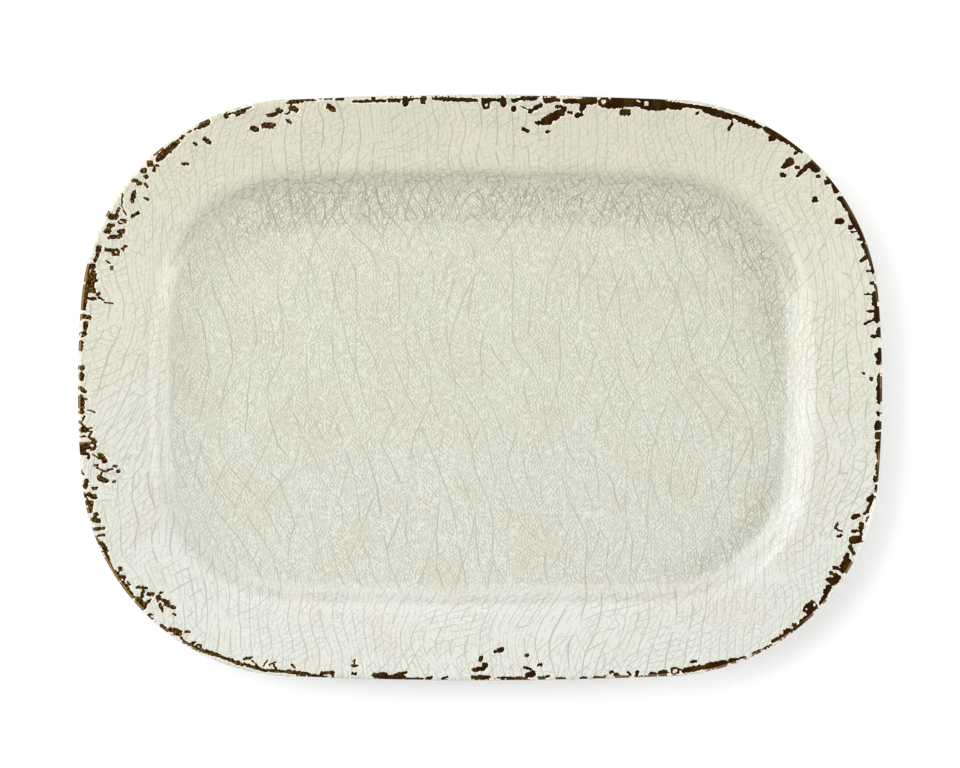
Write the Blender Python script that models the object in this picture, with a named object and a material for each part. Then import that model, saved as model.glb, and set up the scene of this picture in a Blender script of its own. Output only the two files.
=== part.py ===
"""China serving platter: a rectangular dish with bowed sides, round corners and a sloping flange.

Units are metres and +Z is up. The origin is under the middle of the platter, on the plane its foot
ring stands on. +X runs along the length and +Y across the width.

The platter is one fired clay body with thin coats fused to it. Each coat is its own solid:
    clay_body        the fired body, with the foot ring it stands on
    iron_slip_band   brown slip under the glaze, round the edge of the flange and over the lip
    face_glaze       glaze over the well, the wall, the flange and the lip
    underside_glaze  glaze from under the lip down to the outside of the foot ring
    base_glaze       glaze in the recess inside the foot ring

Every solid is a stack of rings. A ring is the platter's outline moved inward by a distance called
its inset, at a height z, so a list of (inset, z) pairs is a solid's section. A section runs from
the middle of the dish outward over the top, round the lip, and back to the middle underneath.
"""

import math

import bmesh
import bpy

# Outline of the lip, seen from above: four bowed sides joined by round corners
HALF_LENGTH = 0.2350
HALF_WIDTH = 0.1710
LONG_SIDE_BOW_RADIUS = 2.505
SHORT_SIDE_BOW_RADIUS = 0.648
CORNER_RADIUS = 0.127

# Section of the dish, by inset from the outermost edge of the lip. The wall is S-shaped: it rolls
# over from the flange, falls steeply, and rolls out into a slightly dished floor.
THICKNESS = 0.0050
LIP_RADIUS = THICKNESS / 2
FLANGE_SLOPE = math.radians(12)
WALL_SLOPE = math.radians(48)
DISH_SLOPE = math.radians(5)
FLANGE_INSET = 0.0425  # where the lines of flange and wall cross
FLANGE_FILLET = 0.0175
WALL_INSET = 0.0510  # where the lines of wall and dish cross
DISH_INSET = 0.0780  # where the lines of dish and flat floor cross
DISH_FILLET = 0.160
FLOOR_HEIGHT = 0.0090
MIDDLE_INSET = 0.0900  # inside this the floor is one flat face

# Foot ring
FOOT_OUTER_INSET = 0.0600
FOOT_INNER_INSET = 0.0670
FOOT_CHAMFER = 0.0010
FOOT_GLAZE_HEIGHT = 0.0022  # glaze on the sides of the ring stops this far above the table

# Coats, and the clearance that keeps neighbouring solids apart
COAT = 0.0005
CLEARANCE = 0.0003
SLIP_WIDTH = 0.0260  # how far the slip runs in over the flange

# Angles round the lip: 0 points outward and 90 degrees points up
LIP_STEP = math.radians(30)
LIP_TOP = math.pi / 2 + FLANGE_SLOPE  # where the flange runs into the lip
LIP_UNDER = LIP_TOP - math.pi  # where the lip runs into the underside
SLIP_END = math.radians(-45)
FACE_GLAZE_END = math.radians(-60)

# Fineness of the mesh
CORNER_STEPS = 9
LONG_SIDE_STEPS = 4
SHORT_SIDE_STEPS = 4
FLANGE_FILLET_STEPS = 3
WALL_FILLET_STEPS = 3
DISH_FILLET_STEPS = 1
SMOOTH_ANGLE = math.radians(40)

# Looks: material name, colour, roughness
CLAY = ("fired_clay", (0.62, 0.52, 0.38), 0.70)
SLIP = ("iron_slip", (0.055, 0.018, 0.004), 0.18)
GLAZE = ("ivory_glaze", (0.70, 0.70, 0.57), 0.12)


# ---------------------------------------------------------------- outline

def corner_centre():
    """Centre of the corner arc in the +X +Y quarter, which touches both bows from inside."""
    ax, ay = 0.0, HALF_WIDTH - LONG_SIDE_BOW_RADIUS
    bx, by = HALF_LENGTH - SHORT_SIDE_BOW_RADIUS, 0.0
    reach_a = LONG_SIDE_BOW_RADIUS - CORNER_RADIUS
    reach_b = SHORT_SIDE_BOW_RADIUS - CORNER_RADIUS
    apart = math.hypot(bx - ax, by - ay)
    along = (reach_a**2 - reach_b**2 + apart**2) / (2 * apart)
    across = math.sqrt(reach_a**2 - along**2)
    ux, uy = (bx - ax) / apart, (by - ay) / apart
    return ax + along * ux + across * uy, ay + along * uy - across * ux


def arc(centre, radius, start, end, steps):
    """Points of an arc with their outward normals, without the last point."""
    pairs = []
    for i in range(steps):
        angle = start + (end - start) * i / steps
        normal = (math.cos(angle), math.sin(angle))
        pairs.append(((centre[0] + radius * normal[0], centre[1] + radius * normal[1]), normal))
    return pairs


def mirrored(pairs, sign_x, sign_y):
    """The pairs turned over to another quarter of the outline."""
    return [((px * sign_x, py * sign_y), (nx * sign_x, ny * sign_y)) for (px, py), (nx, ny) in pairs]


def outline():
    """The lip's outline as (point, outward normal) pairs, counterclockwise from the +X axis."""
    corner = corner_centre()
    long_centre = (0.0, HALF_WIDTH - LONG_SIDE_BOW_RADIUS)
    short_centre = (HALF_LENGTH - SHORT_SIDE_BOW_RADIUS, 0.0)
    short_angle = math.atan2(corner[1], corner[0] - short_centre[0])
    long_angle = math.atan2(corner[1] - long_centre[1], corner[0])
    right = ((HALF_LENGTH, 0.0), (1.0, 0.0))
    top = ((0.0, HALF_WIDTH), (0.0, 1.0))
    quarter = arc(short_centre, SHORT_SIDE_BOW_RADIUS, 0.0, short_angle, SHORT_SIDE_STEPS)
    quarter += arc(corner, CORNER_RADIUS, short_angle, long_angle, CORNER_STEPS)
    quarter += arc(long_centre, LONG_SIDE_BOW_RADIUS, long_angle, math.pi / 2, LONG_SIDE_STEPS)
    between = quarter[1:]
    backward = between[::-1]
    pairs = [right] + between + [top]
    pairs += mirrored(backward, -1, 1) + mirrored([right], -1, 1)
    pairs += mirrored(between, -1, -1) + mirrored([top], 1, -1)
    pairs += mirrored(backward, 1, -1)
    return pairs


def ring(inset, z):
    """The outline moved inward by the inset, at a height."""
    return [(px - nx * inset, py - ny * inset, z) for (px, py), (nx, ny) in outline()]


# ---------------------------------------------------------------- section

def unit(x, y):
    length = math.hypot(x, y)
    return x / length, y / length


def fillet(before, vertex, after, radius, steps):
    """Points of the arc that rounds the corner at vertex, both ends included."""
    back = unit(before[0] - vertex[0], before[1] - vertex[1])
    on = unit(after[0] - vertex[0], after[1] - vertex[1])
    half = math.acos(back[0] * on[0] + back[1] * on[1]) / 2
    middle = unit(back[0] + on[0], back[1] + on[1])
    reach = radius / math.sin(half)
    centre = (vertex[0] + middle[0] * reach, vertex[1] + middle[1] * reach)
    tangent = radius / math.tan(half)
    first = (vertex[0] + back[0] * tangent, vertex[1] + back[1] * tangent)
    start = math.atan2(first[1] - centre[1], first[0] - centre[0])
    turn = back[1] * on[0] - back[0] * on[1]
    sweep = math.copysign(math.pi - 2 * half, turn)
    points = []
    for i in range(steps + 1):
        angle = start + sweep * i / steps
        points.append((centre[0] + radius * math.cos(angle), centre[1] + radius * math.sin(angle)))
    return points


def parallel_corner(inset, z, slope_before, slope_after, depth):
    """Where two falling lines that cross at (inset, z) cross after moving down by depth."""
    nx = math.sin(slope_before) + math.sin(slope_after)
    nz = math.cos(slope_before) + math.cos(slope_after)
    share = depth / (1 + math.cos(slope_after - slope_before))
    return inset - nx * share, z - nz * share


def wall_corner_height():
    return FLOOR_HEIGHT + (DISH_INSET - WALL_INSET) * math.tan(DISH_SLOPE)


def flange_corner_height():
    return wall_corner_height() + (WALL_INSET - FLANGE_INSET) * math.tan(WALL_SLOPE)


def wall_fillet():
    """Radius that makes the wall's lower fillet begin where its upper one ends."""
    wall_length = (WALL_INSET - FLANGE_INSET) / math.cos(WALL_SLOPE)
    upper_part = FLANGE_FILLET * math.tan((WALL_SLOPE - FLANGE_SLOPE) / 2)
    return (wall_length - upper_part) / math.tan((WALL_SLOPE - DISH_SLOPE) / 2)


def lip_centre():
    """Centre of the half circle that rounds the lip."""
    rise = (FLANGE_INSET - LIP_RADIUS) * math.tan(FLANGE_SLOPE)
    return LIP_RADIUS, flange_corner_height() + rise - LIP_RADIUS / math.cos(FLANGE_SLOPE)


def lip_point(depth, angle):
    """Point round the lip, at a depth below the lip's skin."""
    x, z = lip_centre()
    radius = LIP_RADIUS - depth
    return x - radius * math.cos(angle), z + radius * math.sin(angle)


def lip_arc(depth, start, end):
    """Points round the lip from start down to end, on angles that all coats share."""
    too_close = LIP_STEP / 10
    angles = [start]
    angle = LIP_TOP - LIP_STEP
    while angle > end + too_close:
        if angle < start - too_close:
            angles.append(angle)
        angle -= LIP_STEP
    angles.append(end)
    return [lip_point(depth, angle) for angle in angles]


def skin(depth):
    """Line parallel to the upper skin, at a depth below it, from the lip in to the middle."""
    lip = lip_point(depth, LIP_TOP)
    flange = parallel_corner(FLANGE_INSET, flange_corner_height(), FLANGE_SLOPE, WALL_SLOPE, depth)
    wall = parallel_corner(WALL_INSET, wall_corner_height(), WALL_SLOPE, DISH_SLOPE, depth)
    dish = parallel_corner(DISH_INSET, FLOOR_HEIGHT, DISH_SLOPE, 0.0, depth)
    middle = (MIDDLE_INSET, FLOOR_HEIGHT - depth)
    line = [lip]
    line += fillet(lip, flange, wall, FLANGE_FILLET - depth, FLANGE_FILLET_STEPS)
    line += fillet(flange, wall, dish, wall_fillet() + depth, WALL_FILLET_STEPS)[1:]
    line += fillet(wall, dish, middle, DISH_FILLET + depth, DISH_FILLET_STEPS)
    line.append(middle)
    return line


def clipped(line, first, last):
    """The stretch of a line between two insets, with a point on each."""
    inside = [point for point in line if first < point[0] < last]
    return [(first, height_on(line, first))] + inside + [(last, height_on(line, last))]


def height_on(line, inset):
    for (x0, z0), (x1, z1) in zip(line, line[1:]):
        if x0 <= inset <= x1:
            return z0 + (z1 - z0) * (inset - x0) / (x1 - x0)
    raise ValueError("the line doesn't reach this inset")


def outward(line):
    return line[::-1]


# ---------------------------------------------------------------- sections of the solids

def clay_section():
    under_glaze = COAT + CLEARANCE
    under_slip = under_glaze + COAT + CLEARANCE
    above_glaze = THICKNESS - under_glaze
    shoulder = SLIP_WIDTH + CLEARANCE
    step = SLIP_END - CLEARANCE / (LIP_RADIUS - under_slip)
    under_lip = lip_point(above_glaze, LIP_TOP)[0]
    upper = skin(under_glaze)
    lowered = skin(under_slip)
    lower = skin(above_glaze)
    section = outward(clipped(upper, shoulder, MIDDLE_INSET))
    section += outward(clipped(lowered, lowered[0][0], shoulder))
    section += lip_arc(under_slip, LIP_TOP, step)[1:]
    section += lip_arc(under_glaze, step, LIP_UNDER)
    section += clipped(lower, under_lip, FOOT_OUTER_INSET)[1:]
    section += foot_section()
    section += clipped(lower, FOOT_INNER_INSET, MIDDLE_INSET)
    return section


def foot_section():
    """The chamfered foot of the ring that the platter stands on."""
    return [
        (FOOT_OUTER_INSET, FOOT_CHAMFER),
        (FOOT_OUTER_INSET + FOOT_CHAMFER, 0.0),
        (FOOT_INNER_INSET - FOOT_CHAMFER, 0.0),
        (FOOT_INNER_INSET, FOOT_CHAMFER),
    ]


def slip_section():
    top = COAT + CLEARANCE
    bottom = top + COAT
    upper = skin(top)
    lower = skin(bottom)
    section = outward(clipped(upper, upper[0][0], SLIP_WIDTH))
    section += lip_arc(top, LIP_TOP, SLIP_END)[1:]
    section += outward(lip_arc(bottom, LIP_TOP, SLIP_END))
    section += clipped(lower, lower[0][0], SLIP_WIDTH)[1:]
    return section


def face_glaze_section():
    section = outward(skin(0.0))
    section += lip_arc(0.0, LIP_TOP, FACE_GLAZE_END)[1:]
    section += outward(lip_arc(COAT, LIP_TOP, FACE_GLAZE_END))
    section += skin(COAT)[1:]
    return section


def underside_glaze_section():
    start = FACE_GLAZE_END - CLEARANCE / (LIP_RADIUS - COAT)
    outer = skin(THICKNESS)
    inner = skin(THICKNESS - COAT)
    ring_side = FOOT_OUTER_INSET - CLEARANCE
    section = lip_arc(0.0, start, LIP_UNDER)
    section += clipped(outer, outer[0][0], ring_side - COAT)[1:]
    section += [(ring_side - COAT, FOOT_GLAZE_HEIGHT), (ring_side, FOOT_GLAZE_HEIGHT)]
    section += outward(clipped(inner, inner[0][0], ring_side))
    section += outward(lip_arc(COAT, start, LIP_UNDER))[1:]
    return section


def base_glaze_section():
    ring_side = FOOT_INNER_INSET + CLEARANCE
    section = outward(clipped(skin(THICKNESS - COAT), ring_side, MIDDLE_INSET))
    section += [(ring_side, FOOT_GLAZE_HEIGHT), (ring_side + COAT, FOOT_GLAZE_HEIGHT)]
    section += clipped(skin(THICKNESS), ring_side + COAT, MIDDLE_INSET)
    return section


# ---------------------------------------------------------------- solids

def clear_scene():
    for obj in list(bpy.data.objects):
        bpy.data.objects.remove(obj, do_unlink=True)


def make_material(name, colour, roughness):
    material = bpy.data.materials.new(name)
    material.use_nodes = True
    shader = material.node_tree.nodes["Principled BSDF"]
    shader.inputs["Base Color"].default_value = (*colour, 1.0)
    shader.inputs["Roughness"].default_value = roughness
    shader.inputs["Metallic"].default_value = 0.0
    return material


def loop_edges(bm, corners):
    """The edges between neighbouring corners of a closed loop, made where they don't exist yet."""
    pairs = [(corners[i - 1], corner) for i, corner in enumerate(corners)]
    return [bm.edges.get(pair) or bm.edges.new(pair) for pair in pairs]


def extruded(bm, corners, points):
    """Extrude a loop and put its new corners on the points, in the same order."""
    made = bmesh.ops.extrude_edge_only(bm, edges=loop_edges(bm, corners))["geom"]
    made = {item for item in made if isinstance(item, bmesh.types.BMVert)}
    moved = []
    for corner, point in zip(corners, points):
        twins = [edge.other_vert(corner) for edge in corner.link_edges]
        twin = next(vert for vert in twins if vert in made)
        twin.co = point
        moved.append(twin)
    return moved


def make_solid(name, section, material, is_band=False):
    """Extrude the first ring of a section through the others; a band closes on its first ring."""
    bm = bmesh.new()
    first = [bm.verts.new(point) for point in ring(*section[0])]
    last = first
    for inset, z in section[1:]:
        last = extruded(bm, last, ring(inset, z))
    if is_band:
        last = extruded(bm, last, ring(*section[0]))
        bmesh.ops.weld_verts(bm, targetmap=dict(zip(last, first)))
    else:
        bmesh.ops.contextual_create(bm, geom=loop_edges(bm, first))
        bmesh.ops.contextual_create(bm, geom=loop_edges(bm, last))
    bmesh.ops.recalc_face_normals(bm, faces=bm.faces)
    if bm.calc_volume(signed=True) < 0:
        bmesh.ops.reverse_faces(bm, faces=bm.faces)
    mesh = bpy.data.meshes.new(name)
    bm.to_mesh(mesh)
    bm.free()
    mesh.materials.append(material)
    mesh.shade_smooth()
    mesh.set_sharp_from_angle(angle=SMOOTH_ANGLE)
    obj = bpy.data.objects.new(name, mesh)
    bpy.context.collection.objects.link(obj)
    return obj


def build_platter():
    clear_scene()
    clay = make_material(*CLAY)
    slip = make_material(*SLIP)
    glaze = make_material(*GLAZE)
    make_solid("clay_body", clay_section(), clay)
    make_solid("iron_slip_band", slip_section(), slip, is_band=True)
    make_solid("face_glaze", face_glaze_section(), glaze)
    make_solid("underside_glaze", underside_glaze_section(), glaze, is_band=True)
    make_solid("base_glaze", base_glaze_section(), glaze)


build_platter()
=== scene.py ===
"""Looks of the china serving platter: worn brown slip edge, crackled ivory glaze, studio stage.

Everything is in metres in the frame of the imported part. Each coat of the platter is remade here as
a fine, smooth solid on the same outline and section as its CAD node:
    glaze_well       crackled glaze over the floor, the wall and the inner part of the flange
    glaze_rim        the same glaze over the outer flange and the lip, with every chip cut through it
    slip_edge        brown slip just under the rim's glaze, bare inside the chips
    glaze_underside  glaze from under the lip to the foot ring
    glaze_base       glaze inside the foot ring
    fired_body       the clay, bare on the foot ring

A place on the platter is given by its distance round the lip and its inset, which is its distance
in from the lip's outermost edge. A solid is a stack of rings, each the outline moved in by an inset.
"""
import math

import bpy
import numpy as np
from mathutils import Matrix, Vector, noise


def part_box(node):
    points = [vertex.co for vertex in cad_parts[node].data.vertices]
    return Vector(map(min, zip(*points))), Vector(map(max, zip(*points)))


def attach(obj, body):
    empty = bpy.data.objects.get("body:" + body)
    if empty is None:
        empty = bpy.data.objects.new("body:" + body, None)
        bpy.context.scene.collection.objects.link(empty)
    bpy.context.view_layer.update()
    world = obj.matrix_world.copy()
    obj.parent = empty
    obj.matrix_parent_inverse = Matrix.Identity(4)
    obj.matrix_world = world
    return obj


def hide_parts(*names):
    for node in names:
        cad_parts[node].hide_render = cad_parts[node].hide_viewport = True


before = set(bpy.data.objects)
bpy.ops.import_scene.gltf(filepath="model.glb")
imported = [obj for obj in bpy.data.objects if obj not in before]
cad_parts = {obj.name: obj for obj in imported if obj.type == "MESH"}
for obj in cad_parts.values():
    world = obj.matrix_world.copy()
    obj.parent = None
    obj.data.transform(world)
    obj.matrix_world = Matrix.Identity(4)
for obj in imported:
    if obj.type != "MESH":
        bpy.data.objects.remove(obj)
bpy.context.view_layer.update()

MM = 0.001

# Outline of the lip: four bowed sides joined by round corners
HALF_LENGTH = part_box("face_glaze")[1].x
HALF_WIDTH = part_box("face_glaze")[1].y
LONG_SIDE_BOW = 2505 * MM
SHORT_SIDE_BOW = 648 * MM
CORNER_RADIUS = 127 * MM

# Section of the dish, by inset
CAD_COAT = 0.5 * MM
CAD_CLEARANCE = 0.3 * MM
THICKNESS = 5.0 * MM
LIP_RADIUS = THICKNESS / 2
FLANGE_SLOPE = math.radians(12)
WALL_SLOPE = math.radians(48)
DISH_SLOPE = math.radians(5)
FLANGE_INSET = 42.5 * MM
FLANGE_FILLET = 17.5 * MM
WALL_INSET = 51.0 * MM
DISH_INSET = 78.0 * MM
DISH_FILLET = 160 * MM
FLOOR_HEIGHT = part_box("face_glaze")[0].z + CAD_COAT
MIDDLE_INSET = 90.0 * MM
LIP_TOP = math.pi / 2 + FLANGE_SLOPE
LIP_UNDER = LIP_TOP - math.pi
WALL_HEIGHT = FLOOR_HEIGHT + (DISH_INSET - WALL_INSET) * math.tan(DISH_SLOPE)
FLANGE_HEIGHT = WALL_HEIGHT + (WALL_INSET - FLANGE_INSET) * math.tan(WALL_SLOPE)
LIP_RISE = (FLANGE_INSET - LIP_RADIUS) * math.tan(FLANGE_SLOPE)
LIP_HEIGHT = FLANGE_HEIGHT + LIP_RISE - LIP_RADIUS / math.cos(FLANGE_SLOPE)

# Radius that makes the wall's lower fillet begin where its upper one ends
WALL_LENGTH = (WALL_INSET - FLANGE_INSET) / math.cos(WALL_SLOPE)
WALL_UPPER_PART = FLANGE_FILLET * math.tan((WALL_SLOPE - FLANGE_SLOPE) / 2)
WALL_FILLET = (WALL_LENGTH - WALL_UPPER_PART) / math.tan((WALL_SLOPE - DISH_SLOPE) / 2)

# Foot ring
FOOT_WIDTH = 7.0 * MM
FOOT_INNER_INSET = HALF_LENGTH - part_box("base_glaze")[1].x - CAD_CLEARANCE
FOOT_OUTER_INSET = FOOT_INNER_INSET - FOOT_WIDTH
FOOT_ROUNDING = 1.0 * MM
FOOT_GLAZE_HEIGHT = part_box("base_glaze")[0].z

# Coats at their real thickness, with a hair of clearance
GLAZE = 0.40 * MM
SLIP = 0.40 * MM
HAIR = 0.02 * MM
RIM_WIDTH = 30.0 * MM  # inset where the rim's glaze meets the well's
SLIP_WIDTH = 27.0 * MM

# Fineness
FINE_STEP = 0.5 * MM  # spacing of the grid that chips are cut on
BLOCK = 8  # fine steps in one coarse face
LIP_ROW = 0.4 * MM
FLANGE_STEPS = 12
WALL_STEPS = 16
DISH_STEPS = 6
LIP_STEPS = 12
SLIP_LIP_STEPS = 20
FOOT_STEPS = 4
ROUNDING_ERROR = 1e-12


# ---------------------------------------------------------------- outline

def corner_centre():
    """Centre of the corner arc in the +X +Y quarter, which touches both bows from inside."""
    ax, ay = 0.0, HALF_WIDTH - LONG_SIDE_BOW
    bx, by = HALF_LENGTH - SHORT_SIDE_BOW, 0.0
    reach_a = LONG_SIDE_BOW - CORNER_RADIUS
    reach_b = SHORT_SIDE_BOW - CORNER_RADIUS
    apart = math.hypot(bx - ax, by - ay)
    along = (reach_a**2 - reach_b**2 + apart**2) / (2 * apart)
    across = math.sqrt(reach_a**2 - along**2)
    ux, uy = (bx - ax) / apart, (by - ay) / apart
    return ax + along * ux + across * uy, ay + along * uy - across * ux


def outline_arcs():
    """Arcs of the outline, counterclockwise from the +X axis: centre, radius, start, end."""
    cx, cy = corner_centre()
    right = HALF_LENGTH - SHORT_SIDE_BOW
    top = HALF_WIDTH - LONG_SIDE_BOW
    low = math.atan2(cy, cx - right)
    high = math.atan2(cy - top, cx)
    arcs = [((right, 0), SHORT_SIDE_BOW, 0, low)]
    for side, begin in ((1, 0), (-1, math.pi)):
        end = begin + math.pi
        arcs += [
            ((side * cx, side * cy), CORNER_RADIUS, begin + low, begin + high),
            ((0, side * top), LONG_SIDE_BOW, begin + high, end - high),
            ((-side * cx, side * cy), CORNER_RADIUS, end - high, end - low),
            ((-side * right, 0), SHORT_SIDE_BOW, end - low, end + low if side > 0 else end),
        ]
    return arcs


def outline_columns():
    """Evenly spaced columns round the lip: distance round it, point and outward normal."""
    arcs = outline_arcs()
    lengths = [radius * (end - start) for _, radius, start, end in arcs]
    total = sum(lengths)
    count = BLOCK * round(total / (FINE_STEP * BLOCK))
    distance = np.arange(count) * total / count
    points = np.zeros((count, 2))
    normals = np.zeros((count, 2))
    begin = 0.0
    for (centre, radius, start, _), length in zip(arcs, lengths):
        here = (distance >= begin - ROUNDING_ERROR) & (distance < begin + length)
        angle = start + (distance[here] - begin) / radius
        normals[here] = np.column_stack([np.cos(angle), np.sin(angle)])
        points[here] = np.array(centre) + radius * normals[here]
        begin += length
    return distance, points, normals


# ---------------------------------------------------------------- section

def unit(x, y):
    length = math.hypot(x, y)
    return x / length, y / length


def fillet(before, vertex, after, radius, steps):
    """Points of the arc that rounds the corner at vertex, both ends included."""
    back = unit(before[0] - vertex[0], before[1] - vertex[1])
    on = unit(after[0] - vertex[0], after[1] - vertex[1])
    half = math.acos(back[0] * on[0] + back[1] * on[1]) / 2
    middle = unit(back[0] + on[0], back[1] + on[1])
    reach = radius / math.sin(half)
    centre = (vertex[0] + middle[0] * reach, vertex[1] + middle[1] * reach)
    tangent = radius / math.tan(half)
    first = (vertex[0] + back[0] * tangent, vertex[1] + back[1] * tangent)
    start = math.atan2(first[1] - centre[1], first[0] - centre[0])
    turn = back[1] * on[0] - back[0] * on[1]
    sweep = math.copysign(math.pi - 2 * half, turn)
    angles = [start + sweep * i / steps for i in range(steps + 1)]
    return [(centre[0] + radius * math.cos(a), centre[1] + radius * math.sin(a)) for a in angles]


def parallel_corner(inset, z, slope_before, slope_after, depth):
    """Where two falling lines that cross at (inset, z) cross after moving down by depth."""
    nx = math.sin(slope_before) + math.sin(slope_after)
    nz = math.cos(slope_before) + math.cos(slope_after)
    share = depth / (1 + math.cos(slope_after - slope_before))
    return inset - nx * share, z - nz * share


def lip_point(depth, angle):
    """Point round the lip at a depth below its skin; angle 0 is outward and 90 degrees is up."""
    radius = LIP_RADIUS - depth
    return LIP_RADIUS - radius * math.cos(angle), LIP_HEIGHT + radius * math.sin(angle)


def lip_arc(depth, steps=LIP_STEPS):
    """Arc over the lip from the flange to its underside, at a depth below the skin."""
    angles = [LIP_TOP + (LIP_UNDER - LIP_TOP) * i / steps for i in range(steps + 1)]
    return [lip_point(depth, angle) for angle in angles]


def skin(depth):
    """Line parallel to the upper skin, at a depth below it, from the lip in to the middle."""
    lip = lip_point(depth, LIP_TOP)
    flange = parallel_corner(FLANGE_INSET, FLANGE_HEIGHT, FLANGE_SLOPE, WALL_SLOPE, depth)
    wall = parallel_corner(WALL_INSET, WALL_HEIGHT, WALL_SLOPE, DISH_SLOPE, depth)
    dish = parallel_corner(DISH_INSET, FLOOR_HEIGHT, DISH_SLOPE, 0.0, depth)
    middle = (MIDDLE_INSET, FLOOR_HEIGHT - depth)
    line = [lip]
    line += fillet(lip, flange, wall, FLANGE_FILLET - depth, FLANGE_STEPS)
    line += fillet(flange, wall, dish, WALL_FILLET + depth, WALL_STEPS)[1:]
    line += fillet(wall, dish, middle, DISH_FILLET + depth, DISH_STEPS)
    line.append(middle)
    return line


def clipped(line, first, last):
    """The stretch of a line between two insets, with a point on each."""
    inside = [point for point in line if first < point[0] < last]
    return [(first, height_on(line, first))] + inside + [(last, height_on(line, last))]


def height_on(line, inset):
    for (x0, z0), (x1, z1) in zip(line, line[1:]):
        if x0 <= inset <= x1:
            return z0 + (z1 - z0) * (inset - x0) / (x1 - x0)
    raise ValueError("the line doesn't reach this inset")


def outward(line):
    return line[::-1]


def foot_section():
    """The rounded foot of the ring, from its outer side to its inner side."""
    r = FOOT_ROUNDING
    angles = [math.pi / 2 * i / FOOT_STEPS for i in range(FOOT_STEPS + 1)]
    outer = [(FOOT_OUTER_INSET + r - r * math.cos(a), r - r * math.sin(a)) for a in angles]
    inner = [(FOOT_INNER_INSET - r + r * math.sin(a), r - r * math.cos(a)) for a in angles]
    return outer + inner


def body_section():
    under_glaze = GLAZE + HAIR
    under_slip = under_glaze + SLIP + HAIR
    above_glaze = THICKNESS - under_glaze
    shoulder = SLIP_WIDTH + HAIR
    lowered = skin(under_slip)
    lower = skin(above_glaze)
    section = outward(clipped(skin(under_glaze), shoulder, MIDDLE_INSET))
    section += outward(clipped(lowered, lowered[0][0], shoulder))
    section += lip_arc(under_slip)[1:]
    section += clipped(lower, lower[0][0], FOOT_OUTER_INSET)
    section += foot_section()
    section += clipped(lower, FOOT_INNER_INSET, MIDDLE_INSET)
    return section


def slip_section():
    top = GLAZE + HAIR
    bottom = top + SLIP
    upper = skin(top)
    lower = skin(bottom)
    section = outward(clipped(upper, upper[0][0], SLIP_WIDTH))
    section += lip_arc(top, SLIP_LIP_STEPS)[1:]
    section += outward(lip_arc(bottom, SLIP_LIP_STEPS))
    section += clipped(lower, lower[0][0], SLIP_WIDTH)[1:]
    return section


def well_section():
    top, bottom = (clipped(skin(depth), RIM_WIDTH, MIDDLE_INSET) for depth in (0.0, GLAZE))
    return outward(top) + bottom


def underside_section():
    outer = skin(THICKNESS)
    inner = skin(THICKNESS - GLAZE)
    ring_side = FOOT_OUTER_INSET - HAIR
    section = clipped(outer, outer[0][0] + HAIR, ring_side - GLAZE)
    section += [(ring_side - GLAZE, FOOT_GLAZE_HEIGHT), (ring_side, FOOT_GLAZE_HEIGHT)]
    section += outward(clipped(inner, inner[0][0] + HAIR, ring_side))
    return section


def base_section():
    ring_side = FOOT_INNER_INSET + HAIR
    section = outward(clipped(skin(THICKNESS - GLAZE), ring_side, MIDDLE_INSET))
    section += [(ring_side, FOOT_GLAZE_HEIGHT), (ring_side + GLAZE, FOOT_GLAZE_HEIGHT)]
    section += clipped(skin(THICKNESS), ring_side + GLAZE, MIDDLE_INSET)
    return section


# ---------------------------------------------------------------- solids from rings

def add_piece(name, points, faces, insets, material, node, sharp_degrees=35):
    """A mesh object that rides on the platter's one body and stands for a CAD node."""
    mesh = bpy.data.meshes.new(name)
    mesh.from_pydata(points, [], faces)
    mesh.attributes.new("inset", "FLOAT", "POINT").data.foreach_set("value", insets)
    mesh.materials.append(material)
    mesh.shade_smooth()
    mesh.set_sharp_from_angle(angle=math.radians(sharp_degrees))
    mesh.validate()
    piece = bpy.data.objects.new(name, mesh)
    bpy.context.scene.collection.objects.link(piece)
    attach(piece, "root")
    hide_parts(node)
    return piece


def ring_points(columns, inset, z):
    _, points, normals = columns
    plan = points - normals * inset
    return np.column_stack([plan, np.full(len(plan), z)])


def ring_solid(name, section, columns, material, node, is_band=False):
    """Bridge the rings of a section; a band closes on itself, a dish on a point in the middle."""
    count = len(columns[0])
    points = np.vstack([ring_points(columns, inset, z) for inset, z in section])
    insets = np.repeat([inset for inset, _ in section], count)
    rings = len(section)
    faces = []
    for r in range(rings if is_band else rings - 1):
        a, b = r * count, (r + 1) % rings * count
        for i in range(count):
            j = (i + 1) % count
            faces.append((a + i, b + i, b + j, a + j))
    if not is_band:
        top, bottom = len(points), len(points) + 1
        middle = [(0, 0, section[0][1]), (0, 0, section[-1][1])]
        points = np.vstack([points, middle])
        insets = np.append(insets, [HALF_WIDTH, HALF_WIDTH])
        end = (rings - 1) * count
        for i in range(count):
            j = (i + 1) % count
            faces.append((top, i, j))
            faces.append((bottom, end + j, end + i))
    return add_piece(name, points.tolist(), faces, insets, material, node)


# ---------------------------------------------------------------- wear

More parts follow.
